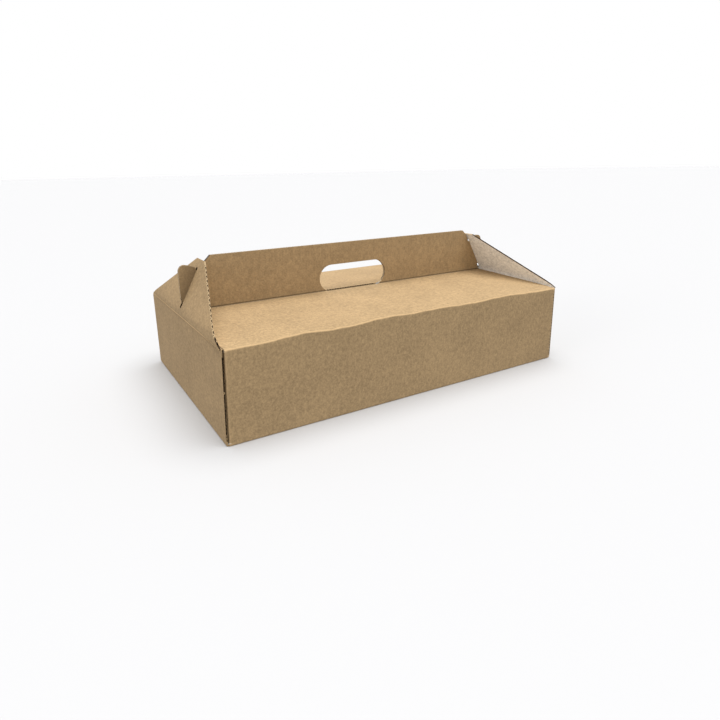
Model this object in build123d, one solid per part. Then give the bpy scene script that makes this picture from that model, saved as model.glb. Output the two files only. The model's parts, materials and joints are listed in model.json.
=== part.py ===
from build123d import *
import os
from math import atan, cos, degrees, radians, sin, tan

# Catering box: a carry box folded from one die-cut sheet of brown fluted board.
# The origin is the centre of the underside. +X runs along the length, +Y to the rear
# and +Z up. Front and rear of the carton mirror each other, and so do its two ends. The
# left end flap is the right one turned half a turn.

# Outside of the box, in millimetres
box_length = 400.0
box_width = 244.0
wall_height = 85.0         # floor to the folds along the tops of the walls
lid_rise = 4.5             # climb of each lid half from its wall to the handle
handle_height = 142.0      # floor to the top edge of the handle

# The board and its folds
board = 1.6                # thickness of the sheet
fold_radius = 0.4          # inside of every sharp fold
layer_gap = 0.3            # air between the two handle panels

# Corner flaps, folded in from the front and rear walls behind the end walls
corner_flap_length = 55.0
corner_flap_gap = 0.9      # to the end wall that hides it
corner_flap_trim = 1.0     # to the base under it and to the lid over it
end_edge_recess = 1.6      # cut edges of an end wall behind the front and rear faces

# Lid halves and handle panels
lid_end_gap = 0.8          # cut ends of the lid to the end walls
handle_end_gap = 2.4       # cut ends of the handle to the leaning end flaps
handle_corner_cut = 5.6    # chamfer at the top corners of the handle
hole_length = 88.0         # hand hole, rounded at both ends
hole_height = 30.0         # along the board, part of it on the lid
hole_dip = 1.2             # reach of the hand hole past the handle fold onto the lid

# End flaps: upright above the crease, then bent inwards over the ears. The bend runs askew:
# it starts low at one slope of the flap and ends high at the other.
flap_upright_low = 2.4
flap_upright_high = 8.8
flap_lean = 28.3           # degrees from upright
flap_bend_radius = 8.0     # at the middle of the board
flap_length = 59.4         # along the board, from the crease to the top edge
flap_base_width = 240.0
flap_top_width = 24.0

# Crease between an end wall and its flap, crushed from outside so that the flap folds out
crease_depth = 0.4         # from the outer face to the line that the flap turns on
crease_clearance = 0.05    # around the crushed bead, and above and below the line
crease_opening = 77.5      # degrees, bevel of the wall and of the flap at the crease

# Ears at the ends of the handle panels, hooked through the slits in the end flaps
ear_reach = 50.0           # from the crease line to the round top of the hook
ear_neck_start = 13.6      # along the flap from the crease
ear_neck_end = 47.8
ear_straight_start = 18.0  # height above the crease of the straight outer edge's foot
hook_angle = 29.0          # degrees from upright, inner edge of the hook
hook_outer_radius = 6.5
hook_inner_radius = 3.0
ear_small_radius = 1.2
slit_start = 8.3           # from the crease line to the lower end of the slit
slit_end_clearance = 0.5   # to the hook, as the flap swings past it
slit_side_clearance = 0.3

# Places worked out from the sizes
wall_middle_x = (box_length - board) / 2
wall_middle_y = (box_width - board) / 2
handle_middle_y = (layer_gap + board) / 2
lid_top = wall_height + lid_rise
corner_flap_x = box_length / 2 - board - corner_flap_gap - board / 2
corner_flap_low = board + corner_flap_trim
corner_flap_high = wall_height - board - corner_flap_trim
lid_half_length = box_length / 2 - board - lid_end_gap
flap_upright = (flap_upright_low + flap_upright_high) / 2
bend_height = wall_height + flap_upright
crease_x = box_length / 2 - crease_depth
lean = radians(flap_lean)


def mirrored(points):
    """Close a right-hand outline with its mirror image about the vertical axis."""
    return points + [(-across, up) for across, up in reversed(points)]


def card(path, bend_radius):
    """Section of the board along the middle line of a path, bent at its inner points."""
    return trace(FilletPolyline(*path, radius=bend_radius), board)


def flap_point(distance, depth):
    """Front view of a point beside the right flap's leaning part.

    distance runs along the flap from the crease, depth outwards from the board's middle.
    """
    along = distance - flap_upright
    return (
        wall_middle_x - along * sin(lean) + depth * cos(lean),
        bend_height + along * cos(lean) + depth * sin(lean),
    )


def handle_end_x(height):
    """Cut end of the handle at a height: a line inside the leaning flap, parallel to it."""
    foot_x, foot_z = flap_point(flap_upright, -board / 2 - handle_end_gap)
    return foot_x - (height - foot_z) * tan(lean)


def ear_outline():
    """Front view of the right ear and its neck, reaching back into the handle."""
    inside = -board / 2 - handle_end_gap
    throat_x, throat_z = flap_point(ear_neck_end, board / 2)
    hook_top = wall_height + ear_reach + board
    hook_inner_x = throat_x + (hook_top - throat_z) * tan(radians(hook_angle))
    outline = Polygon(
        flap_point(ear_neck_end, inside - board),
        (throat_x, throat_z),
        (hook_inner_x, hook_top),
        (box_length / 2, hook_top),
        (box_length / 2, wall_height + ear_straight_start),
        flap_point(ear_neck_start, board / 2),
        flap_point(ear_neck_start, inside - board),
        align=None,
    )
    corners = outline.vertices()
    foot = corners.sort_by_distance((box_length / 2, wall_height + ear_straight_start, 0))[0]
    throat = corners.sort_by_distance((throat_x, throat_z, 0))[0]
    outline = fillet([foot, throat], ear_small_radius)
    outline = outline & Pos(crease_x, wall_height) * Circle(ear_reach)
    inner_top, outer_top = outline.vertices().sort_by(Axis.Y)[-2:].sort_by(Axis.X)
    outline = fillet(outer_top, hook_outer_radius)
    inner_top = outline.vertices().sort_by_distance(inner_top.center())[0]
    return fillet(inner_top, hook_inner_radius)


def wrap_outline():
    """Front view of the strip that runs round base, walls, lid halves and handle."""
    fold_start = corner_flap_x - fold_radius - board / 2
    body = Polygon(
        *mirrored(
            [
                (lid_half_length, -board),
                (lid_half_length, corner_flap_low),
                (fold_start, corner_flap_low),
                (fold_start, corner_flap_high),
                (lid_half_length, corner_flap_high),
                (lid_half_length, lid_top),
            ]
        ),
        align=None,
    )
    shoulder = handle_height - handle_corner_cut
    handle = Polygon(
        *mirrored(
            [
                (handle_end_x(lid_top), lid_top),
                (handle_end_x(shoulder), shoulder),
                (handle_end_x(shoulder) - handle_corner_cut, handle_height),
            ]
        ),
        align=None,
    )
    ear = ear_outline()
    return body + handle + ear + mirror(ear, Plane.YZ)


def wrap():
    """Base, front and rear walls, lid halves and handle panels, folded from one strip."""
    path = mirrored(
        [
            (handle_middle_y, handle_height),
            (handle_middle_y, lid_top - board / 2),
            (wall_middle_y, wall_height - board / 2),
            (wall_middle_y, board / 2),
        ]
    )
    strip = extrude(Plane.YZ * card(path, fold_radius + board / 2), box_length, both=True)
    return strip & extrude(Plane.XZ * wrap_outline(), box_width, both=True)


def corner_flaps():
    """The front wall with a corner flap folded in at each end, and the same at the rear."""
    flap_end_y = box_width / 2 - corner_flap_length
    path = [
        (corner_flap_x, -flap_end_y),
        (corner_flap_x, -wall_middle_y),
        (-corner_flap_x, -wall_middle_y),
        (-corner_flap_x, -flap_end_y),
    ]
    section = Pos(0, 0, corner_flap_low) * card(path, fold_radius + board / 2)
    front = extrude(section, corner_flap_high - corner_flap_low)
    return front + mirror(front, Plane.XZ)


def end_walls():
    """Both end walls, folded up from the base."""
    path = [
        (wall_middle_x, wall_height - crease_clearance),
        (wall_middle_x, board / 2),
        (-wall_middle_x, board / 2),
        (-wall_middle_x, wall_height - crease_clearance),
    ]
    section = Plane.XZ * card(path, fold_radius + board / 2)
    return extrude(section, box_width / 2 - end_edge_recess, both=True)


def crease_rod(radius, length):
    """Rod of a given radius along the right crease."""
    return Pos(crease_x, 0, wall_height) * Rot(90, 0, 0) * Cylinder(radius, length)


def crease_notch():
    """Wedge that opens outwards from the right crease, cut from the wall and the flap."""
    reach = 2 * crease_depth
    spread = reach * tan(radians(crease_opening))
    wedge = Polygon(
        (crease_x, wall_height),
        (crease_x + reach, wall_height + spread),
        (crease_x + reach, wall_height - spread),
        align=None,
    )
    return extrude(Plane.XZ * wedge, box_width, both=True)


def hand_hole():
    """Hand hole through both handle panels, with its rounded foot cut into both lid halves."""
    above_fold = hole_height - hole_dip
    in_handle = Pos(0, lid_top + above_fold - hole_height / 2) * SlotOverall(hole_length, hole_height)
    fold_face = handle_middle_y + board / 2
    in_lid = Pos(0, fold_face + hole_dip - hole_height / 2) * SlotOverall(hole_length, hole_height)
    rear_half = Pos(0, hole_height / 2) * Rectangle(hole_length, hole_height)
    notch = Pos(0, 0, wall_height - board) * extrude(in_lid & rear_half, lid_rise + 3 * board)
    handle_cut = extrude(Plane.XZ * in_handle, fold_face + board, both=True)
    return handle_cut + notch + mirror(notch, Plane.XZ)


def carton():
    """Everything but the two end flaps, as one folded sheet."""
    box = wrap() + corner_flaps() + end_walls()
    relief = crease_notch() + crease_rod(board / 4 + crease_clearance, 2 * box_width)
    return box - relief - mirror(relief, Plane.YZ) - hand_hole()


def end_flap():
    """Right end flap: bead at the crease, upright foot, bend, leaning part and slit."""
    spare = flap_upright_high
    middle_line = FilletPolyline(
        (wall_middle_x, wall_height - spare),
        (wall_middle_x, bend_height),
        flap_point(flap_length + spare, 0),
        radius=flap_bend_radius,
    )
    rear_edge = Plane.XZ.offset(-box_width) * middle_line
    sheet = Shell.extrude(Wire(rear_edge.edges()), (0, -2 * box_width, 0))
    bend_slope = degrees(atan((flap_upright_high - flap_upright_low) / flap_base_width))
    sheet = sheet.rotate(Axis((0, 0, bend_height), (1, 0, 0)), bend_slope)
    taper = (flap_base_width - flap_top_width) / 2 / flap_length
    top_z = flap_point(flap_length, 0)[1]
    outline = Polygon(
        (flap_base_width / 2, wall_height + crease_clearance),
        (flap_base_width / 2 - flap_upright_high * taper, wall_height + flap_upright_high),
        (flap_top_width / 2, top_z),
        (-flap_top_width / 2, top_z),
        (flap_upright_low * taper - flap_base_width / 2, wall_height + flap_upright_low),
        (-flap_base_width / 2, wall_height + crease_clearance),
        align=None,
    )
    mask = extrude(Plane.YZ * outline, box_length)
    flap = thicken((sheet & mask).faces(), board / 2, both=True)
    bead = crease_rod(board / 4, flap_base_width)
    slit_end = ear_reach + slit_end_clearance
    slit_width = 2 * board + layer_gap + 2 * slit_side_clearance
    slit = crease_rod(slit_end, slit_width) - crease_rod(slit_start, slit_width)
    return flap - crease_notch() + bead - slit


right_flap = end_flap()
nodes = {
    "carton": carton(),
    "left_end_flap": right_flap.rotate(Axis.Z, 180),
    "right_end_flap": right_flap,
}

os.makedirs("parts", exist_ok=True)
for name, shape in nodes.items():
    export_step(shape, f"parts/{name}.step")
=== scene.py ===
"""Catering box in brown fluted board: open flutes, a wavy front fold, floor, light and camera."""

import json
import math
from contextlib import contextmanager

import bpy
from mathutils import Matrix, Vector


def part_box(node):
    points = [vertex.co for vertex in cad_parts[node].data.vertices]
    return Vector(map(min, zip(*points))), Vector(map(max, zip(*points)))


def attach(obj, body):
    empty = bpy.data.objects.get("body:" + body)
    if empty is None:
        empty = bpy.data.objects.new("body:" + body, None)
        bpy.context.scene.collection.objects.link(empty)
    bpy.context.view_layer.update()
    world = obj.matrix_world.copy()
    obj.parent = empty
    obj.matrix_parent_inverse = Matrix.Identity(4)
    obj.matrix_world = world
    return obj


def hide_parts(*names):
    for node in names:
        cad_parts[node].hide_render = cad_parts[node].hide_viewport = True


bl_info = {
    "name": "Catering Box",
    "version": (1, 0, 0),
    "blender": (4, 5, 0),
    "location": "View3D > Sidebar > Catering Box",
    "description": "Finishes a folded carry box in brown fluted board, and sets its studio",
    "category": "Object",
}

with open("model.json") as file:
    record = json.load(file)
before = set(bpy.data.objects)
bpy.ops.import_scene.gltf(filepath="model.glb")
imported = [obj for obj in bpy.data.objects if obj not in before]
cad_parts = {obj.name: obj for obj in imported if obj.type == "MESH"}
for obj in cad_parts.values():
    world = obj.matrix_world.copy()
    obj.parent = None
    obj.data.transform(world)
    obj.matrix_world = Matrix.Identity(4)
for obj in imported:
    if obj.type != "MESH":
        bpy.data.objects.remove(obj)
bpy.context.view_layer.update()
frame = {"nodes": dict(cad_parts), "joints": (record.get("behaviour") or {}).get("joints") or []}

MM = 0.001
CARTON_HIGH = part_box("carton")[1]
HALF_LENGTH = CARTON_HIGH.x
HALF_WIDTH = CARTON_HIGH.y
HINGE = Vector(next(j["pos_m"] for j in frame["joints"] if j["name"] == "right_flap_hinge"))
OUTER, INNER, EDGE, FLUTING_AND_SHADE, END_OUTER = range(5)

# Places on the folded sheet, as its solids have them
FOLD_INSIDE = 0.4 * MM         # inside radius of a sharp fold
LID_END_GAP = 0.8 * MM         # cut ends of the lid to the end walls
CORNER_FLAP_GAP = 0.9 * MM     # corner flap to the end wall that hides it
FLAP_UPRIGHT = 5.6 * MM        # foot of an end flap, at the middle of its width
HANDLE_HALF_DEPTH = 2.2 * MM   # both handle panels lie within this of the middle
BOX_END = 0.15                 # a point beyond this along X belongs to an end of the box


class BoxBoardSizes(bpy.types.PropertyGroup):
    """Sizes of the board and of the box's folds."""

    board: bpy.props.FloatProperty(
        name="Board", description="Thickness of the fluted board", default=1.6 * MM, unit="LENGTH"
    )
    liner: bpy.props.FloatProperty(
        name="Liner", description="Thickness of each flat liner", default=0.2 * MM, unit="LENGTH"
    )
    medium: bpy.props.FloatProperty(
        name="Medium", description="Thickness of the wavy paper between the liners",
        default=0.14 * MM, unit="LENGTH",
    )
    pitch: bpy.props.FloatProperty(
        name="Flute pitch", description="Distance from one flute to the next", default=3.4 * MM, unit="LENGTH"
    )
    large_eye: bpy.props.FloatProperty(
        name="Large eye", description="Part of the pitch that a flute is open against the inner liner",
        default=0.68, subtype="FACTOR",
    )
    small_eye: bpy.props.FloatProperty(
        name="Small eye", description="Part of the pitch that a flute is open against the outer liner",
        default=0.20, subtype="FACTOR",
    )
    layer_gap: bpy.props.FloatProperty(
        name="Layer gap", description="Air between the two handle panels", default=0.3 * MM, unit="LENGTH"
    )
    lid_rise: bpy.props.FloatProperty(
        name="Lid rise", description="Climb of each lid half to the handle", default=4.5 * MM, unit="LENGTH"
    )
    handle_foot: bpy.props.FloatProperty(
        name="Handle foot", description="Height of the handle's lowest open flute over the lid",
        default=3.5 * MM, unit="LENGTH",
    )
    hole_length: bpy.props.FloatProperty(
        name="Hand hole", description="Length of the hand hole", default=88 * MM, unit="LENGTH"
    )
    end_edge_recess: bpy.props.FloatProperty(
        name="End edge recess", description="Cut edge of an end wall behind the front face",
        default=1.6 * MM, unit="LENGTH",
    )
    flap_upright_low: bpy.props.FloatProperty(
        name="Flap foot, low end", description="Upright height at one slope of an end flap",
        default=2.4 * MM, unit="LENGTH",
    )
    flap_upright_high: bpy.props.FloatProperty(
        name="Flap foot, high end", description="Upright height at the other slope",
        default=8.8 * MM, unit="LENGTH",
    )
    flap_lean: bpy.props.FloatProperty(
        name="Flap lean", description="Lean of an end flap from upright",
        default=math.radians(28.3), subtype="ANGLE",
    )
    flap_bend: bpy.props.FloatProperty(
        name="Flap bend", description="Radius of an end flap's bend", default=8 * MM, unit="LENGTH"
    )
    flap_length: bpy.props.FloatProperty(
        name="Flap length", description="Length of an end flap along the board",
        default=59.4 * MM, unit="LENGTH",
    )
    flap_base: bpy.props.FloatProperty(
        name="Flap base", description="Width of an end flap at its crease", default=240 * MM, unit="LENGTH"
    )
    flap_top: bpy.props.FloatProperty(
        name="Flap top", description="Width of an end flap at its top edge", default=24 * MM, unit="LENGTH"
    )
    flute_opening: bpy.props.FloatProperty(
        name="Flute opening", description="How deep the flutes are open behind a slope",
        default=9 * MM, unit="LENGTH",
    )
    soft_bend: bpy.props.FloatProperty(
        name="Soft bend", description="Length over which an end flap's bend is spread",
        default=13 * MM, unit="LENGTH",
    )
    ear_inset: bpy.props.FloatProperty(
        name="Ear inset", description="How far the ears' outer edges stand inside the end walls",
        default=2.6 * MM, unit="LENGTH",
    )
    corner_lean: bpy.props.FloatProperty(
        name="Corner lean", description="How far the front corners lean in at the top",
        default=1.4 * MM, unit="LENGTH",
    )
    fold_rise: bpy.props.FloatProperty(
        name="Fold rise", description="Height of the waves along the front fold",
        default=2.4 * MM, unit="LENGTH",
    )
    right_flap_droop: bpy.props.FloatProperty(
        name="Right flap droop", description="How much further the right end flap leans than the left one",
        default=math.radians(1.5), subtype="ANGLE",
    )


class BoxBoardColours(bpy.types.PropertyGroup):
    """Colours of the board's papers."""

    outer: bpy.props.FloatVectorProperty(
        name="Outer liner", description="Brown paper on the outside", subtype="COLOR", size=3,
        default=(0.402, 0.275, 0.143), min=0, max=1,
    )
    inner: bpy.props.FloatVectorProperty(
        name="Inner liner", description="Greyer paper on the inside", subtype="COLOR", size=3,
        default=(0.80, 0.77, 0.71), min=0, max=1,
    )
    # Painted shade: the ends' brown is the outer liner's brown darkened, to offset the low fill light from
    # the left on the end walls and flaps
    ends: bpy.props.FloatVectorProperty(
        name="Outer liner of the ends with painted shade", description="Brown paper of the end walls and flaps",
        subtype="COLOR", size=3, default=(0.338, 0.231, 0.120), min=0, max=1,
    )
    edge: bpy.props.FloatVectorProperty(
        name="Cut edge", description="Raw paper where the board was cut", subtype="COLOR", size=3,
        default=(0.45, 0.325, 0.185), min=0, max=1,
    )
    # Painted shade: the fluting is near-black, far darker than its brown paper, for the shade inside the open
    # flutes; its slot also paints shade on cut edges that lie in shadow
    fluting: bpy.props.FloatVectorProperty(
        name="Fluting and painted shade", description="Wavy paper inside the board", subtype="COLOR", size=3,
        default=(0.040, 0.021, 0.008), min=0, max=1,
    )


class BoxStudio(bpy.types.PropertyGroup):
    """Floor, lights and camera."""

    camera_place: bpy.props.FloatVectorProperty(
        name="Camera place", description="Where the camera stands", subtype="TRANSLATION", size=3,
        default=(-0.31671, -0.50537, 0.22064),
    )
    camera_turn: bpy.props.FloatProperty(
        name="Camera turn", description="Turn of the view from the box's front",
        default=math.radians(29.695), subtype="ANGLE",
    )
    camera_dip: bpy.props.FloatProperty(
        name="Camera dip", description="Downward tilt of the view",
        default=math.radians(16.225), subtype="ANGLE",
    )
    camera_roll: bpy.props.FloatProperty(
        name="Camera roll", description="Roll of the view", default=math.radians(-1.118), subtype="ANGLE"
    )
    lens: bpy.props.FloatProperty(
        name="Lens", description="Focal length", default=26.30, unit="CAMERA"
    )
    shift_x: bpy.props.FloatProperty(
        name="Shift X", description="Sideways shift of the frame", default=0.0389
    )
    shift_y: bpy.props.FloatProperty(
        name="Shift Y", description="Upward shift of the frame", default=-0.0528
    )
    key_strength: bpy.props.FloatProperty(
        name="Key light", description="Strength of the wide soft light overhead", default=3.42, min=0
    )
    key_spread: bpy.props.FloatProperty(
        name="Key spread", description="Angle that the soft light fills",
        default=math.radians(60), subtype="ANGLE",
    )
    fill_strength: bpy.props.FloatProperty(
        name="Fill light", description="Strength of the low soft light from the left", default=0.6, min=0
    )
    fill_spread: bpy.props.FloatProperty(
        name="Fill spread", description="Angle that the low light fills",
        default=math.radians(30), subtype="ANGLE",
    )
    sky: bpy.props.FloatProperty(
        name="Sky", description="Light that the white surroundings give", default=0.67, min=0
    )


# Selecting and editing


def select_only(*objects):
    bpy.ops.object.select_all(action="DESELECT")
    for piece in objects:
        piece.select_set(True)
    bpy.context.view_layer.objects.active = objects[0]


@contextmanager
def editing(piece):
    """Edit mode on one piece, with everything selected."""
    select_only(piece)
    bpy.ops.object.mode_set(mode="EDIT")
    bpy.ops.mesh.select_mode(type="FACE")
    bpy.ops.mesh.select_all(action="SELECT")
    yield
    bpy.ops.object.mode_set(mode="OBJECT")


def apply_modifier(piece, kind, **settings):
    select_only(piece)
    modifier = piece.modifiers.new(kind.title(), kind)
    for key, value in settings.items():
        setattr(modifier, key, value)
    bpy.ops.object.modifier_apply(modifier=modifier.name)


def node_copy(node, name):
    """A merged copy of a node's mesh, with flat panels as single faces."""
    piece = bpy.data.objects.new(name, frame["nodes"][node].data.copy())
    bpy.context.scene.collection.objects.link(piece)
    piece.data.materials.clear()
    with editing(piece):
        bpy.ops.mesh.customdata_custom_splitnormals_clear()
        bpy.ops.mesh.remove_doubles(threshold=0.002 * MM)
        bpy.ops.mesh.dissolve_limited(angle_limit=math.radians(0.2))
    return piece


# Flutes


def channel_section(sizes, open_share):
    """Outline of the air space under one crest of the wavy paper, across the board."""
    core = sizes.board - 2 * sizes.liner
    reach = open_share * sizes.pitch / 2
    height = (core - sizes.medium) * min(1, 0.4 + open_share)
    steps, foot = 7, 0.12
    crest = []
    for step in range(steps):
        share = 1 - 2 * step / (steps - 1)
        arch = foot + (1 - foot) * math.cos(share * math.pi / 2)
        crest.append((share * reach, height * arch - core / 2))
    return [(-reach, -core / 2), (reach, -core / 2)] + crest


def channel(sizes, length, flipped):
    """One air space as a prism along Z, under a crest or, flipped, over a trough half a pitch on."""
    section = channel_section(sizes, sizes.small_eye if flipped else sizes.large_eye)
    bpy.ops.object.select_all(action="DESELECT")
    bpy.ops.mesh.primitive_circle_add(vertices=len(section), radius=sizes.pitch, fill_type="NGON")
    prism = bpy.context.object
    for vertex, (along, across) in zip(prism.data.vertices, section):
        if flipped:
            vertex.co = (sizes.pitch / 2 - along, -across, 0)
        else:
            vertex.co = (along, across, 0)
    with editing(prism):
        bpy.ops.mesh.extrude_region_move(TRANSFORM_OT_translate={"value": (0, 0, length)})
        bpy.ops.mesh.select_all(action="SELECT")
        bpy.ops.mesh.normals_make_consistent(inside=False)
    return prism


def join(*objects):
    select_only(*objects)
    bpy.ops.object.join()
    return bpy.context.object


def flute_row(sizes, count, length):
    """A row of flutes centred on X, each running up Z, as one cutter."""
    row = join(channel(sizes, length, False), channel(sizes, length, True))
    apply_modifier(
        row, "ARRAY", count=count, use_relative_offset=False,
        use_constant_offset=True, constant_offset_displace=(sizes.pitch, 0, 0),
    )
    row.data.transform(Matrix.Translation((-(count - 0.5) * sizes.pitch / 2, 0, 0)))
    return row


def place(piece, start, along, across):
    """Move a cutter's X to along, its Y to across and its Z to the flute's own direction."""
    along, across = Vector(along).normalized(), Vector(across).normalized()
    turn = Matrix((along, across, along.cross(across))).transposed().to_4x4()
    piece.data.transform(Matrix.Translation(start) @ turn)
    return piece


def cut_flutes(piece, cutters):
    """Open the board's flutes, and keep the air spaces' walls in the fluting's slot, whose near-black colour
    is painted shade.
    """
    cutter = join(*cutters)
    cutter.data.materials.clear()
    for slot in piece.data.materials:
        cutter.data.materials.append(slot)
    cutter.data.polygons.foreach_set("material_index", [FLUTING_AND_SHADE] * len(cutter.data.polygons))
    with editing(cutter):
        bpy.ops.mesh.normals_make_consistent(inside=False)
    apply_modifier(
        piece, "BOOLEAN", operation="DIFFERENCE", solver="MANIFOLD", object=cutter, material_mode="INDEX"
    )
    bpy.data.objects.remove(cutter)


# Materials


class Signal:
    """A shader socket that takes part in sums."""

    def __init__(self, tree, socket):
        self.tree, self.socket = tree, socket

    def _math(self, operation, first, second=None):
        node = self.tree.nodes.new("ShaderNodeMath")
        node.operation = operation
        for slot, value in zip(node.inputs, (first, second)):
            if isinstance(value, Signal):
                self.tree.links.new(value.socket, slot)
            elif value is not None:
                slot.default_value = value
        return Signal(self.tree, node.outputs[0])

    def __add__(self, other):
        return self._math("ADD", self, other)

    def __radd__(self, other):
        return self._math("ADD", other, self)

    def __sub__(self, other):
        return self._math("SUBTRACT", self, other)

    def __rsub__(self, other):
        return self._math("SUBTRACT", other, self)

    def __mul__(self, other):
        return self._math("MULTIPLY", self, other)

    def __rmul__(self, other):
        return self._math("MULTIPLY", other, self)

    def __truediv__(self, other):
        return self._math("DIVIDE", self, other)

    def __abs__(self):
        return self._math("ABSOLUTE", self)

    def sine(self):
        return self._math("SINE", self)

    def smaller(self, other):
        return self._math("MINIMUM", self, other)

    def larger(self, other):
        return self._math("MAXIMUM", self, other)

    def inside(self, edge, soft):
        """1 where the signal is under edge, falling to 0 over soft."""
        return ((edge - self) / soft + 0.5).larger(0).smaller(1)


class Finish:
    """A material with its own node tree."""

    def __init__(self, name, roughness):
        self.material = bpy.data.materials.new(name)
        self.material.use_nodes = True
        self.tree = self.material.node_tree
        self.surface = self.tree.nodes["Principled BSDF"]
        self.surface.inputs["Roughness"].default_value = roughness
        self.surface.inputs["Specular IOR Level"].default_value = 0.25
        place_node = self.node("ShaderNodeTexCoord")
        self.place = place_node.outputs["Object"]
        parts = self.node("ShaderNodeSeparateXYZ", inputs={"Vector": self.place})
        self.x, self.y, self.z = (Signal(self.tree, parts.outputs[axis]) for axis in "XYZ")

    def node(self, kind, settings=None, inputs=None):
        """Any other node: its settings first, then the values or links of its sockets."""
        made = self.tree.nodes.new(kind)
        for key, value in (settings or {}).items():
            setattr(made, key, value)
        for key, value in (inputs or {}).items():
            slot = made.inputs[key]
            if isinstance(value, Signal):
                value = value.socket
            if isinstance(value, bpy.types.NodeSocket):
                self.tree.links.new(value, slot)
            else:
                slot.default_value = value
        return made

    def noise(self, size, detail, stretch=(1, 1, 1), roughness=0.5):
        """Noise from 0 to 1 with features of about that size, in metres."""
        mapping = self.node("ShaderNodeMapping", inputs={"Vector": self.place, "Scale": stretch})
        made = self.node(
            "ShaderNodeTexNoise",
            inputs={
                "Vector": mapping.outputs[0], "Scale": 1 / size, "Detail": detail, "Roughness": roughness,
            },
        )
        return Signal(self.tree, made.outputs[0])

    def blend(self, amount, first, second):
        """Colour from first to second as amount goes from 0 to 1."""
        made = self.node("ShaderNodeMix", {"data_type": "RGBA"}, {"Factor": amount})
        for slot, value in ((made.inputs[6], first), (made.inputs[7], second)):
            if isinstance(value, bpy.types.NodeSocket):
                self.tree.links.new(value, slot)
            else:
                slot.default_value = (*value, 1)
        return made.outputs[2]

    def colour(self, value):
        self.tree.links.new(value, self.surface.inputs["Base Color"])

    def bump(self, height, distance):
        made = self.node("ShaderNodeBump", inputs={"Height": height, "Distance": distance})
        self.tree.links.new(made.outputs[0], self.surface.inputs["Normal"])


def scaled(colour, factor):
    return tuple(min(1, channel_value * factor) for channel_value in colour)


def ear_shade(finish, sizes):
    """How much painted shade darkens an ear toward the slit that it comes out of: 0 off the ears."""
    past_foot = finish.z - HINGE.z - (sizes.flap_upright_low + sizes.flap_upright_high) / 2
    past_wall = abs(finish.x) - HALF_LENGTH + sizes.board / 2
    clear = past_wall * math.cos(sizes.flap_lean) + past_foot * math.sin(sizes.flap_lean) - sizes.board / 2
    on_ear = (clear / (0.5 * MM)).larger(0).smaller(1)
    on_ear = on_ear * abs(finish.y).inside(HANDLE_HALF_DEPTH, 0.2 * MM)
    on_ear = on_ear * (0 - past_foot).inside(-2 * MM, 1 * MM)
    fades_over, least, most = 17 * MM, 0.12, 0.75
    return (1 - clear / fades_over).larger(least) * on_ear * most


def paper_finish(name, colour, washboard_along, sizes):
    """Brown paper: cloudy tone, fibres and specks, and the flutes showing faintly through it. Folds are
    lighter from wear and a painted highlight; the inner and end papers get a painted highlight along the
    crease, the outer paper painted shade on the ears and in the handle's fold.
    """
    relief, washboard_depth = 0.06 * MM, 0.05 * MM
    dark_tone, light_tone = scaled(colour, 0.76), scaled(colour, 1.21)
    finish = Finish(name, 0.82)
    cloud = finish.noise(0.045, 2)
    grain = (1, 1, 0.75) if washboard_along == "x" else (1, 0.75, 1)
    mottle = finish.noise(0.0034, 2, stretch=grain, roughness=0.6)
    fibre = finish.noise(0.0018, 3, roughness=0.75)
    speck = finish.noise(0.0012, 1)
    tone = 0.16 * cloud + 0.32 * mottle + 0.52 * fibre
    contrast = 4.4
    tone = ((tone - 0.5) * contrast + 0.5).larger(0).smaller(1)
    paper = finish.blend(tone, dark_tone, light_tone)
    specks = ((speck - 0.66) * 5).larger(0).smaller(0.4)
    paper = finish.blend(specks, paper, scaled(colour, 0.5))
    height = 0.35 * fibre + 0.25 * mottle
    coordinate = {"x": finish.x, "z": finish.z}[washboard_along]
    ridge = (coordinate * (math.tau / sizes.pitch)).sine() * 0.5 + 0.5
    patchy = ((finish.noise(0.03, 2) - 0.35) * 2.5).larger(0.15).smaller(1)
    ridge = ridge * patchy
    paper = finish.blend(ridge * 0.14, paper, dark_tone)
    height = height + ridge * (washboard_depth / relief)
    # Folds are lighter: worn paper, and a painted highlight along the outside folds
    wear_node = finish.node("ShaderNodeAttribute", {"attribute_name": "fold_wear_and_highlight"})
    wear = Signal(finish.tree, wear_node.outputs["Fac"])
    rubbed_and_lit = (wear * (0.25 + finish.noise(0.006, 2))).smaller(0.8)
    paper = finish.blend(rubbed_and_lit, paper, scaled(colour, 1.45))
    if washboard_along == "z":
        # Painted highlight: a light line along the crease between end wall and flap, faded out toward the
        # front
        crease = abs(finish.z - HINGE.z).inside(0.6 * MM, 0.6 * MM)
        fades_from, fades_over = 0.098, 0.03
        whole = ((finish.y + fades_from) / fades_over).larger(0).smaller(1)
        paper = finish.blend(crease * whole * 0.6, paper, scaled(colour, 1.7))
    else:
        # Painted shade on the ears, darkest beside the slit
        paper = finish.blend(ear_shade(finish, sizes), paper, scaled(colour, 0.42))
        # Painted shade: a dark line in the fold where the handle rises from the lid
        handle_fold, reach, soft = 4.9 * MM, 0.9 * MM, 0.6 * MM
        fold_y = abs(abs(finish.y) - HANDLE_HALF_DEPTH).inside(reach, soft)
        fold_z = abs(finish.z - HINGE.z - handle_fold).inside(reach, soft)
        paper = finish.blend(fold_y * fold_z * 0.75, paper, scaled(colour, 0.30))
    finish.colour(paper)
    finish.bump(height, relief)
    return finish.material


def edge_finish(name, colour):
    """Raw cut board: rough and a little uneven in tone."""
    finish = Finish(name, 0.9)
    rough = finish.noise(0.0008, 3, roughness=0.7)
    finish.colour(finish.blend(rough, scaled(colour, 0.75), scaled(colour, 1.15)))
    finish.bump(rough, 0.08 * MM)
    return finish.material


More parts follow.
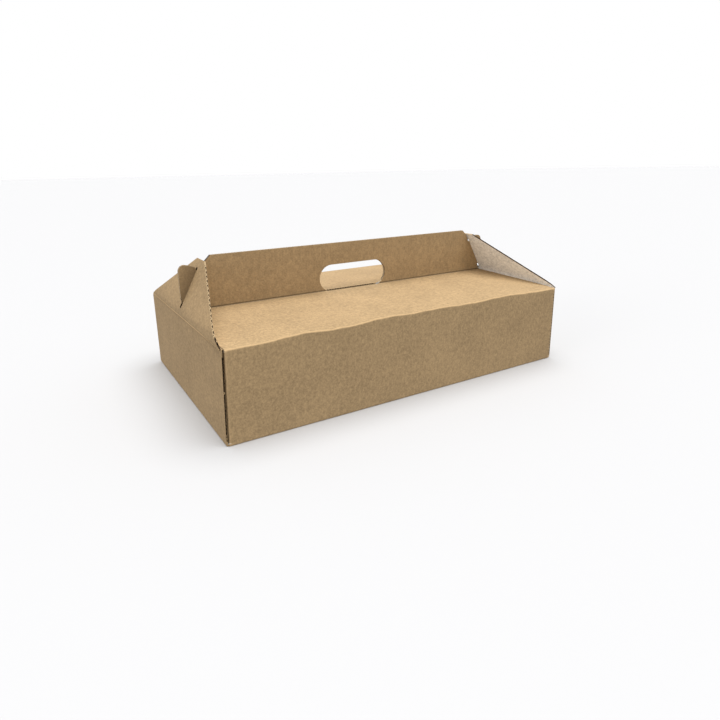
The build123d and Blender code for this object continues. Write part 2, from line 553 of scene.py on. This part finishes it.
def board_materials(sizes, colours):
    """The piece's slots in order: OUTER, INNER, EDGE, FLUTING_AND_SHADE, END_OUTER."""
    if "Outer liner" in bpy.data.materials:
        names = ("Outer liner", "Inner liner", "Cut edge", "Fluting and painted shade", "Outer liner of the ends with painted shade")
        return [bpy.data.materials[name] for name in names]
    return [
        paper_finish("Outer liner", colours.outer, "x", sizes),
        paper_finish("Inner liner", colours.inner, "z", sizes),
        edge_finish("Cut edge", colours.edge),
        # The fluting's near-black colour is painted shade
        edge_finish("Fluting and painted shade", colours.fluting),
        # The ends' darker brown is painted shade
        paper_finish("Outer liner of the ends with painted shade", colours.ends, "z", sizes),
    ]


# Carton


def front_fold_rise(x, height):
    """How far the front fold stands above a straight line: humps and small dents of the folding."""
    # Centre along the fold, share of the height, and spread of each hump
    humps = ((-0.128, 0.85, 0.015), (-0.040, 0.95, 0.018), (0.022, 0.70, 0.024), (0.116, 0.75, 0.024))
    rise = 0.25 * math.cos(math.pi * x / (2 * HALF_LENGTH))
    for centre, share, spread in humps:
        rise += share * math.exp(-((x - centre) ** 2) / (2 * spread**2))
    rise += 0.07 * math.sin(math.tau * x / 0.0305 + 0.7) + 0.05 * math.sin(math.tau * x / 0.0187)
    return height * rise


def mark_folds(piece, sizes):
    """Store how much each vertex is lightened by wear and a painted highlight: 1 in the middle of an outside
    fold, 0 on the flat board.
    """
    outside = sizes.board + FOLD_INSIDE
    lightened_from, lightened_over = 0.3, 0.2
    wear = piece.data.attributes.new("fold_wear_and_highlight", "FLOAT", "POINT")
    for vertex, mark in zip(piece.data.vertices, wear.data):
        x, y, z = (abs(part) for part in vertex.co)
        past_wall = (y - HALF_WIDTH + outside) / outside
        past_end = (x - HALF_LENGTH + sizes.board + CORNER_FLAP_GAP + outside) / outside
        past_lid = (z - HINGE.z + outside) / outside
        past_base = (outside - z) / outside
        top_fold = past_wall * past_lid if z < HINGE.z + 0.3 * MM else 0
        corner_fold = past_wall * past_end if x < HALF_LENGTH - sizes.board else 0
        base_fold = past_wall * past_base
        strongest = max(
            top_fold if past_wall > 0 and past_lid > 0 else 0,
            0.8 * corner_fold if past_wall > 0 and past_end > 0 else 0,
            0.6 * base_fold if past_wall > 0 and past_base > 0 else 0,
        )
        mark.value = smooth_step((strongest - lightened_from) / lightened_over)


def settle_corners(piece, sizes):
    """Lean the front corners in, close the lid's ends on the flaps and draw the ears in."""
    lid_end = HALF_LENGTH - sizes.board - LID_END_GAP
    lean_over, foot_spread, lid_stretch = 6 * MM, 0.7 * MM, 0.6 * MM
    for vertex in piece.data.vertices:
        x, y, z = vertex.co
        side = 1 if x > 0 else -1
        reach = abs(x)
        if reach < BOX_END:
            continue
        near_front = smooth_step((-y - 0.100) / 0.018)
        on_front_wall = y < -HALF_WIDTH + 2.3 * MM and z < HINGE.z + 0.5 * MM
        on_lid = z > HINGE.z - sizes.board and 4 * MM < abs(y) < HALF_WIDTH - 2 * MM
        on_ear = abs(y) < 2 * MM and z > HINGE.z + 8 * MM
        if on_front_wall and reach > lid_end - lean_over:
            height_share = z / HINGE.z
            fade = smooth_step((reach - lid_end + lean_over) / lean_over)
            lean = sizes.corner_lean * height_share - foot_spread * (1 - height_share)
            vertex.co.x -= side * fade * lean
        elif on_lid and lid_end - 0.2 * MM < reach < lid_end + 0.1 * MM:
            vertex.co.x += side * (lid_stretch * (1 - near_front) - sizes.corner_lean * near_front)
        elif on_ear:
            flap_x = HALF_LENGTH - (z - HINGE.z - FLAP_UPRIGHT) * math.tan(sizes.flap_lean)
            if reach > flap_x:
                vertex.co.x -= side * sizes.ear_inset * (reach - flap_x) / (HALF_LENGTH - flap_x)


def smooth_step(value):
    value = max(0.0, min(1.0, value))
    return value * value * (3 - 2 * value)


def slice_faces(piece, wanted, planes):
    """Slice the wanted faces by planes, each a place and a normal."""
    select_only(piece)
    bpy.ops.object.mode_set(mode="EDIT")
    bpy.ops.mesh.select_mode(type="FACE")
    bpy.ops.mesh.select_all(action="DESELECT")
    bpy.ops.object.mode_set(mode="OBJECT")
    for place_at, normal in planes:
        points = [vertex.co for vertex in piece.data.vertices]
        for face in piece.data.polygons:
            face.select = wanted([points[index] for index in face.vertices])
        bpy.ops.object.mode_set(mode="EDIT")
        bpy.ops.mesh.bisect(plane_co=place_at, plane_no=normal)
        bpy.ops.object.mode_set(mode="OBJECT")


def wave_front(piece, sizes):
    """Slice the front wall and lid half into a grid, and lift the fold in waves."""
    fold_z = HINGE.z
    end_fade, still_below, lid_fade = 0.03, 0.02, 0.07

    def front(points):
        places = [point.y for point in points]
        return max(places) < -1.5 * MM and min(places) < -0.05

    columns = [((step * 4 * MM, 0, 0), (1, 0, 0)) for step in range(-48, 49)]
    rows = [((0, 0, height * MM), (0, 0, 1)) for height in (20, 40, 55, 68, 77)]
    aisles = [((0, -y * MM, 0), (0, 1, 0)) for y in (110, 95, 80, 65, 50)]
    slice_faces(piece, front, rows + aisles + columns)
    mark_folds(piece, sizes)
    settle_corners(piece, sizes)
    for vertex in piece.data.vertices:
        x, y, z = vertex.co
        if y > -0.02 or abs(x) > HALF_LENGTH - 1.9 * MM:
            continue
        rise = front_fold_rise(x, sizes.fold_rise) * smooth_step((HALF_LENGTH - abs(x)) / end_fade)
        if y < -HALF_WIDTH + 2.1 * MM:
            vertex.co.z += rise * smooth_step((z - still_below) / (fold_z - still_below))
        elif z > fold_z - 3 * MM:
            vertex.co.z += rise * (1 - smooth_step((y + HALF_WIDTH) / lid_fade))


def carton_cutters(sizes):
    """Flutes open at the cut edges of the end walls, the handle panels, the ears and the hand hole."""
    board, pitch = sizes.board, sizes.pitch
    cutters = []
    wall_margin, handle_margin, notch_margin, notch_depth = 7 * MM, 3 * MM, 20 * MM, 0.016
    wall_flutes = int((HINGE.z - wall_margin) / pitch)
    wall_reach = HALF_WIDTH - sizes.end_edge_recess + board
    for side in (-1, 1):
        row = flute_row(sizes, wall_flutes, 2 * wall_reach)
        middle = Vector((side * (HALF_LENGTH - board / 2), -side * wall_reach, HINGE.z / 2 - 0.5 * MM))
        cutters.append(place(row, middle, (0, 0, 1), (side, 0, 0)))
    handle_start = HINGE.z + sizes.lid_rise + sizes.handle_foot
    handle_length = CARTON_HIGH.z + board - handle_start
    handle_flutes = int((2 * HALF_LENGTH - handle_margin) / pitch)
    handle_y = (sizes.layer_gap + board) / 2
    for side in (-1, 1):
        row = flute_row(sizes, handle_flutes, handle_length)
        foot = Vector((0, side * handle_y, handle_start))
        across = Vector((0, side, 0))
        cutters.append(place(row, foot, across.cross((0, 0, 1)), across))
    lid_run = HALF_WIDTH - board / 2 - handle_y
    notch_flutes = int((sizes.hole_length - notch_margin) / pitch)
    for side in (-1, 1):
        outwards = Vector((0, side * lid_run, -sizes.lid_rise)).normalized()
        along = Vector((side, 0, 0))
        up = outwards.cross(along)
        row = flute_row(sizes, notch_flutes, notch_depth)
        fold = Vector((0, side * handle_y, HINGE.z + sizes.lid_rise - board / 2)) + outwards * board
        cutters.append(place(row, fold, along, up))
    return cutters


def side_of_carton(centre, normal, sizes):
    """Which paper a face of the carton shows."""
    near = 0.35 * MM
    if abs(centre.x) > HALF_LENGTH - sizes.board - near:
        if abs(normal.x) > 0.6 or normal.z < -0.3:
            outward = normal.x * centre.x > 0 or normal.z < -0.3
            return END_OUTER if outward else INNER
        if abs(normal.y) < 0.6:
            return END_OUTER
        # Painted shade: the left end's cut edges, with their open flutes, take the near-black fluting colour;
        # the right end's keep the lighter cut edge colour
        return FLUTING_AND_SHADE if centre.x < 0 else EDGE
    if HALF_LENGTH - 6 * MM < abs(centre.x) < HALF_LENGTH and abs(normal.x) > 0.6 and centre.z < HINGE.z:
        return END_OUTER if normal.x * centre.x > 0 else INNER
    if abs(centre.y) < HANDLE_HALF_DEPTH and centre.z > HINGE.z + 3 * MM:
        if abs(normal.y) < 0.7:
            # Painted shade: cut edges facing the ends, at the handle's ends and the ears, take the near-black
            # fluting colour
            return FLUTING_AND_SHADE if abs(centre.x) > BOX_END and abs(normal.x) > 0.6 else EDGE
        return OUTER if normal.y * centre.y > 0 else INNER
    lid_z = HINGE.z + sizes.lid_rise * (1 - abs(centre.y) / HALF_WIDTH)
    if centre.z > HINGE.z - 3 * MM and abs(centre.y) < HALF_WIDTH - 1 * MM:
        if abs(normal.z) > 0.5 or (abs(normal.y) > 0.3 and abs(normal.z) > 0.1):
            return OUTER if normal.z > 0 and centre.z > lid_z - 1.2 * MM else INNER
        return EDGE
    if abs(centre.y) > HALF_WIDTH - 2.2 * MM:
        return OUTER if normal.y * centre.y > 0 or abs(normal.x) > 0.5 else INNER
    if centre.z < 2.2 * MM:
        return OUTER if normal.z < 0.3 else INNER
    return INNER


def paint_sides(piece, side_of, sizes):
    """Give every face outside the flutes the paper that it shows."""
    for face in piece.data.polygons:
        if face.material_index != FLUTING_AND_SHADE:
            face.material_index = side_of(face.center, face.normal, sizes)


def soften(piece):
    select_only(piece)
    bpy.ops.object.shade_smooth_by_angle(angle=math.radians(30))


class BOX_OT_carton(bpy.types.Operator):
    """Carton with open flutes, a wavy front fold and its papers."""

    bl_idname = "catering_box.carton"
    bl_label = "Carton"

    def execute(self, context):
        sizes = context.scene.box_board_sizes
        piece = node_copy("carton", "folded_carton")
        for material in board_materials(sizes, context.scene.box_board_colours):
            piece.data.materials.append(material)
        cut_flutes(piece, carton_cutters(sizes))
        with editing(piece):
            bpy.ops.mesh.dissolve_limited(angle_limit=math.radians(0.2), delimit={"MATERIAL"})
        paint_sides(piece, side_of_carton, sizes)
        wave_front(piece, sizes)
        soften(piece)
        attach(piece, "carton")
        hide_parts("carton")
        return {"FINISHED"}


# End flaps


def upright_at(sizes, high_share):
    """Upright height of an end flap's foot, from its low slope at 0 to its high slope at 1."""
    return sizes.flap_upright_low + high_share * (sizes.flap_upright_high - sizes.flap_upright_low)


def bend_start(sizes, upright):
    """Distance from the crease at which a bend above an upright foot begins."""
    return upright - sizes.flap_bend * math.tan(sizes.flap_lean / 2)


def flap_path(sizes, distance, high_share):
    """Place and lean of the right flap's middle line at a distance from the crease."""
    start = bend_start(sizes, upright_at(sizes, high_share))
    x, z = HALF_LENGTH - sizes.board / 2, HINGE.z
    if distance < start:
        return x, z + distance, 0.0
    turn = min((distance - start) / sizes.flap_bend, sizes.flap_lean)
    rest = distance - start - turn * sizes.flap_bend
    x -= sizes.flap_bend * (1 - math.cos(turn)) + rest * math.sin(turn)
    z += start + sizes.flap_bend * math.sin(turn) + rest * math.cos(turn)
    return x, z, turn


def flap_cutters(sizes, side):
    """Flutes open at both slopes of an end flap, following its bend."""
    first, top_margin, half_pitch = 3.0 * MM, 1.5 * MM, sizes.pitch / 2
    flutes = int(2 * (sizes.flap_length - first - top_margin) / sizes.pitch)
    taper = (sizes.flap_base - sizes.flap_top) / 2 / sizes.flap_length
    reach = sizes.flute_opening + sizes.pitch * taper
    cutters = []
    for slope in (-1, 1):
        for flute in range(flutes):
            distance = first + flute * half_pitch
            edge_y = sizes.flap_base / 2 - distance * taper
            high_share = 0.5 + side * slope * edge_y / sizes.flap_base
            x, z, turn = flap_path(sizes, distance, high_share)
            prism = channel(sizes, reach, flute % 2 == 1)
            if flute % 2:
                prism.data.transform(Matrix.Translation((-half_pitch, 0, 0)))
            outer_end = edge_y + sizes.pitch * taper
            start_y = outer_end - reach if slope * side > 0 else outer_end
            along = (-side * math.sin(turn), 0, math.cos(turn))
            across = (side * math.cos(turn), 0, math.sin(turn))
            cutters.append(place(prism, (side * x, slope * start_y, z), along, across))
    return cutters


def along_flap(sizes, x, z, upright):
    """Distance from the crease and depth outwards of a point beside the right flap's bend."""
    middle = HALF_LENGTH - sizes.board / 2
    start = bend_start(sizes, upright)
    centre_x, centre_z = middle - sizes.flap_bend, HINGE.z + start
    if z <= centre_z:
        return z - HINGE.z, x - middle
    angle = math.atan2(z - centre_z, x - centre_x)
    if angle <= sizes.flap_lean:
        return start + sizes.flap_bend * angle, math.hypot(z - centre_z, x - centre_x) - sizes.flap_bend
    lean_x, lean_z = math.cos(sizes.flap_lean), math.sin(sizes.flap_lean)
    from_x = x - centre_x - sizes.flap_bend * lean_x
    from_z = z - centre_z - sizes.flap_bend * lean_z
    rest = from_z * lean_x - from_x * lean_z
    return start + sizes.flap_bend * sizes.flap_lean + rest, from_x * lean_x + from_z * lean_z


def soft_lean(sizes, side, distance, upright):
    """Lean of the softened flap at a distance from its crease."""
    spread = smooth_step((distance - upright) / sizes.soft_bend + 0.5)
    full = sizes.flap_lean + (sizes.right_flap_droop if side > 0 else 0)
    return full * spread * smooth_step(distance / (1.5 * MM))


def soften_bend(piece, sizes, side):
    """Spread the flap's bend over a longer stretch, as thick board does, with its top kept in place."""
    levels = [((0, 0, HINGE.z + (1 + 1.5 * level) * MM), (0, 0, 1)) for level in range(12)]
    slice_faces(piece, lambda points: True, levels)
    step = 0.25 * MM
    for vertex in piece.data.vertices:
        high_share = 0.5 + side * vertex.co.y / sizes.flap_base
        upright = upright_at(sizes, high_share)
        distance, depth = along_flap(sizes, side * vertex.co.x, vertex.co.z, upright)
        if distance < step:
            continue
        x, z = HALF_LENGTH - sizes.board / 2, HINGE.z
        for index in range(int(distance / step)):
            lean = soft_lean(sizes, side, (index + 0.5) * step, upright)
            x -= step * math.sin(lean)
            z += step * math.cos(lean)
        lean = soft_lean(sizes, side, distance, upright)
        rest = distance % step
        x += depth * math.cos(lean) - rest * math.sin(lean)
        z += depth * math.sin(lean) + rest * math.cos(lean)
        vertex.co.x, vertex.co.z = side * x, z


def side_of_flap(centre, normal, sizes):
    """Which paper a face of an end flap shows."""
    crushed = 3.2 * MM
    side = 1 if centre.x > 0 else -1
    facing = side * normal.x
    if abs(facing) < 0.75:
        in_slit = abs(centre.y) < 3 * MM and centre.z < HINGE.z + sizes.flap_length / 2
        if centre.z < HINGE.z + crushed:
            return FLUTING_AND_SHADE if abs(normal.y) > 0.4 else END_OUTER
        # Painted shade: the slit's cut edges and the right flap's front slope take the near-black fluting
        # colour
        shaded_slope = side > 0 and normal.y < -0.3
        return FLUTING_AND_SHADE if in_slit or shaded_slope else EDGE
    return END_OUTER if facing > 0 else INNER


class BOX_OT_end_flaps(bpy.types.Operator):
    """End flaps with open flutes and their papers."""

    bl_idname = "catering_box.end_flaps"
    bl_label = "End flaps"

    def execute(self, context):
        sizes = context.scene.box_board_sizes
        for side, body in ((-1, "left_end_flap"), (1, "right_end_flap")):
            piece = node_copy(body, "leaning_" + body)
            for material in board_materials(sizes, context.scene.box_board_colours):
                piece.data.materials.append(material)
            cut_flutes(piece, flap_cutters(sizes, side))
            paint_sides(piece, side_of_flap, sizes)
            soften_bend(piece, sizes, side)
            soften(piece)
            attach(piece, body)
            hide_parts(body)
        return {"FINISHED"}


# Stage


def pale_floor():
    bpy.ops.object.select_all(action="DESELECT")
    bpy.ops.mesh.primitive_plane_add(size=60, location=(0, 0, 0))
    floor = bpy.context.object
    floor.name = "floor"
    finish = Finish("Pale floor", 0.7)
    finish.surface.inputs["Base Color"].default_value = (0.545, 0.545, 0.55, 1)
    finish.surface.inputs["Specular IOR Level"].default_value = 0.1
    floor.data.materials.append(finish.material)
    select_only(floor)
    bpy.ops.object.transform_apply(location=True, rotation=True, scale=True)
    floor.visible_diffuse = False


def soft_light(name, coming_from, strength, spread):
    """A wide light from far away, so that it is as strong all over the floor."""
    bpy.ops.object.light_add(type="SUN")
    light = bpy.context.object
    light.name = name
    light.data.energy = strength
    light.data.angle = spread
    light.rotation_mode = "QUATERNION"
    light.rotation_quaternion = Vector(coming_from).to_track_quat("Z", "Y")


def white_surroundings(strength):
    world = bpy.data.worlds.new("White surroundings")
    bpy.context.scene.world = world
    world.use_nodes = True
    tree = world.node_tree
    giving = tree.nodes["Background"]
    giving.inputs["Color"].default_value = (1, 1, 1, 1)
    giving.inputs["Strength"].default_value = strength
    seen = tree.nodes.new("ShaderNodeBackground")
    seen.inputs["Color"].default_value = (1, 1, 1, 1)
    kind_of_ray = tree.nodes.new("ShaderNodeLightPath")
    either = tree.nodes.new("ShaderNodeMixShader")
    tree.links.new(kind_of_ray.outputs["Is Camera Ray"], either.inputs[0])
    tree.links.new(giving.outputs[0], either.inputs[1])
    tree.links.new(seen.outputs[0], either.inputs[2])
    tree.links.new(either.outputs[0], tree.nodes["World Output"].inputs["Surface"])


def stand_camera(studio):
    """Camera at the angle of the object's picture, with its framing as a small shift."""
    turn, dip, roll = studio.camera_turn, studio.camera_dip, studio.camera_roll
    ahead = Vector((math.sin(turn) * math.cos(dip), math.cos(turn) * math.cos(dip), -math.sin(dip)))
    level = Vector((math.cos(turn), -math.sin(turn), 0))
    upward = level.cross(ahead)
    right = math.cos(roll) * level + math.sin(roll) * upward
    up = math.cos(roll) * upward - math.sin(roll) * level
    bpy.ops.object.camera_add(location=studio.camera_place)
    camera = bpy.context.object
    camera.rotation_mode = "QUATERNION"
    camera.rotation_quaternion = Matrix((right, up, -ahead)).transposed().to_quaternion()
    camera.data.sensor_width = 36
    camera.data.lens = studio.lens
    camera.data.shift_x = studio.shift_x
    camera.data.shift_y = studio.shift_y
    bpy.context.scene.camera = camera


class BOX_OT_stage(bpy.types.Operator):
    """Pale floor, soft studio light and the camera."""

    bl_idname = "catering_box.stage"
    bl_label = "Stage"

    def execute(self, context):
        studio = context.scene.box_studio
        pale_floor()
        soft_light("key_light", (0.12, -0.03, 1), studio.key_strength, studio.key_spread)
        soft_light("fill_light", (-1, -0.05, 0.25), studio.fill_strength, studio.fill_spread)
        white_surroundings(studio.sky)
        stand_camera(studio)
        context.scene.view_settings.view_transform = "Standard"
        return {"FINISHED"}


class BOX_PT_panel(bpy.types.Panel):
    """Lists the box's operators and settings."""

    bl_idname = "BOX_PT_panel"
    bl_label = "Catering Box"
    bl_space_type = "VIEW_3D"
    bl_region_type = "UI"
    bl_category = "Catering Box"

    def draw(self, context):
        for operator in OPERATORS:
            self.layout.operator(operator.bl_idname)
        for group in (
            context.scene.box_board_sizes, context.scene.box_board_colours, context.scene.box_studio,
        ):
            box = self.layout.box()
            for key in group.__annotations__:
                box.prop(group, key)


OPERATORS = (BOX_OT_carton, BOX_OT_end_flaps, BOX_OT_stage)
GROUPS = {
    "box_board_sizes": BoxBoardSizes,
    "box_board_colours": BoxBoardColours,
    "box_studio": BoxStudio,
}
CLASSES = (*GROUPS.values(), *OPERATORS, BOX_PT_panel)


def register():
    for cls in CLASSES:
        bpy.utils.register_class(cls)
    for name, group in GROUPS.items():
        setattr(bpy.types.Scene, name, bpy.props.PointerProperty(type=group))


def unregister():
    for name in GROUPS:
        delattr(bpy.types.Scene, name)
    for cls in reversed(CLASSES):
        bpy.utils.unregister_class(cls)


def main():
    register()
    bpy.ops.catering_box.carton()
    bpy.ops.catering_box.end_flaps()
    bpy.ops.catering_box.stage()


if __name__ == "__main__":
    main()
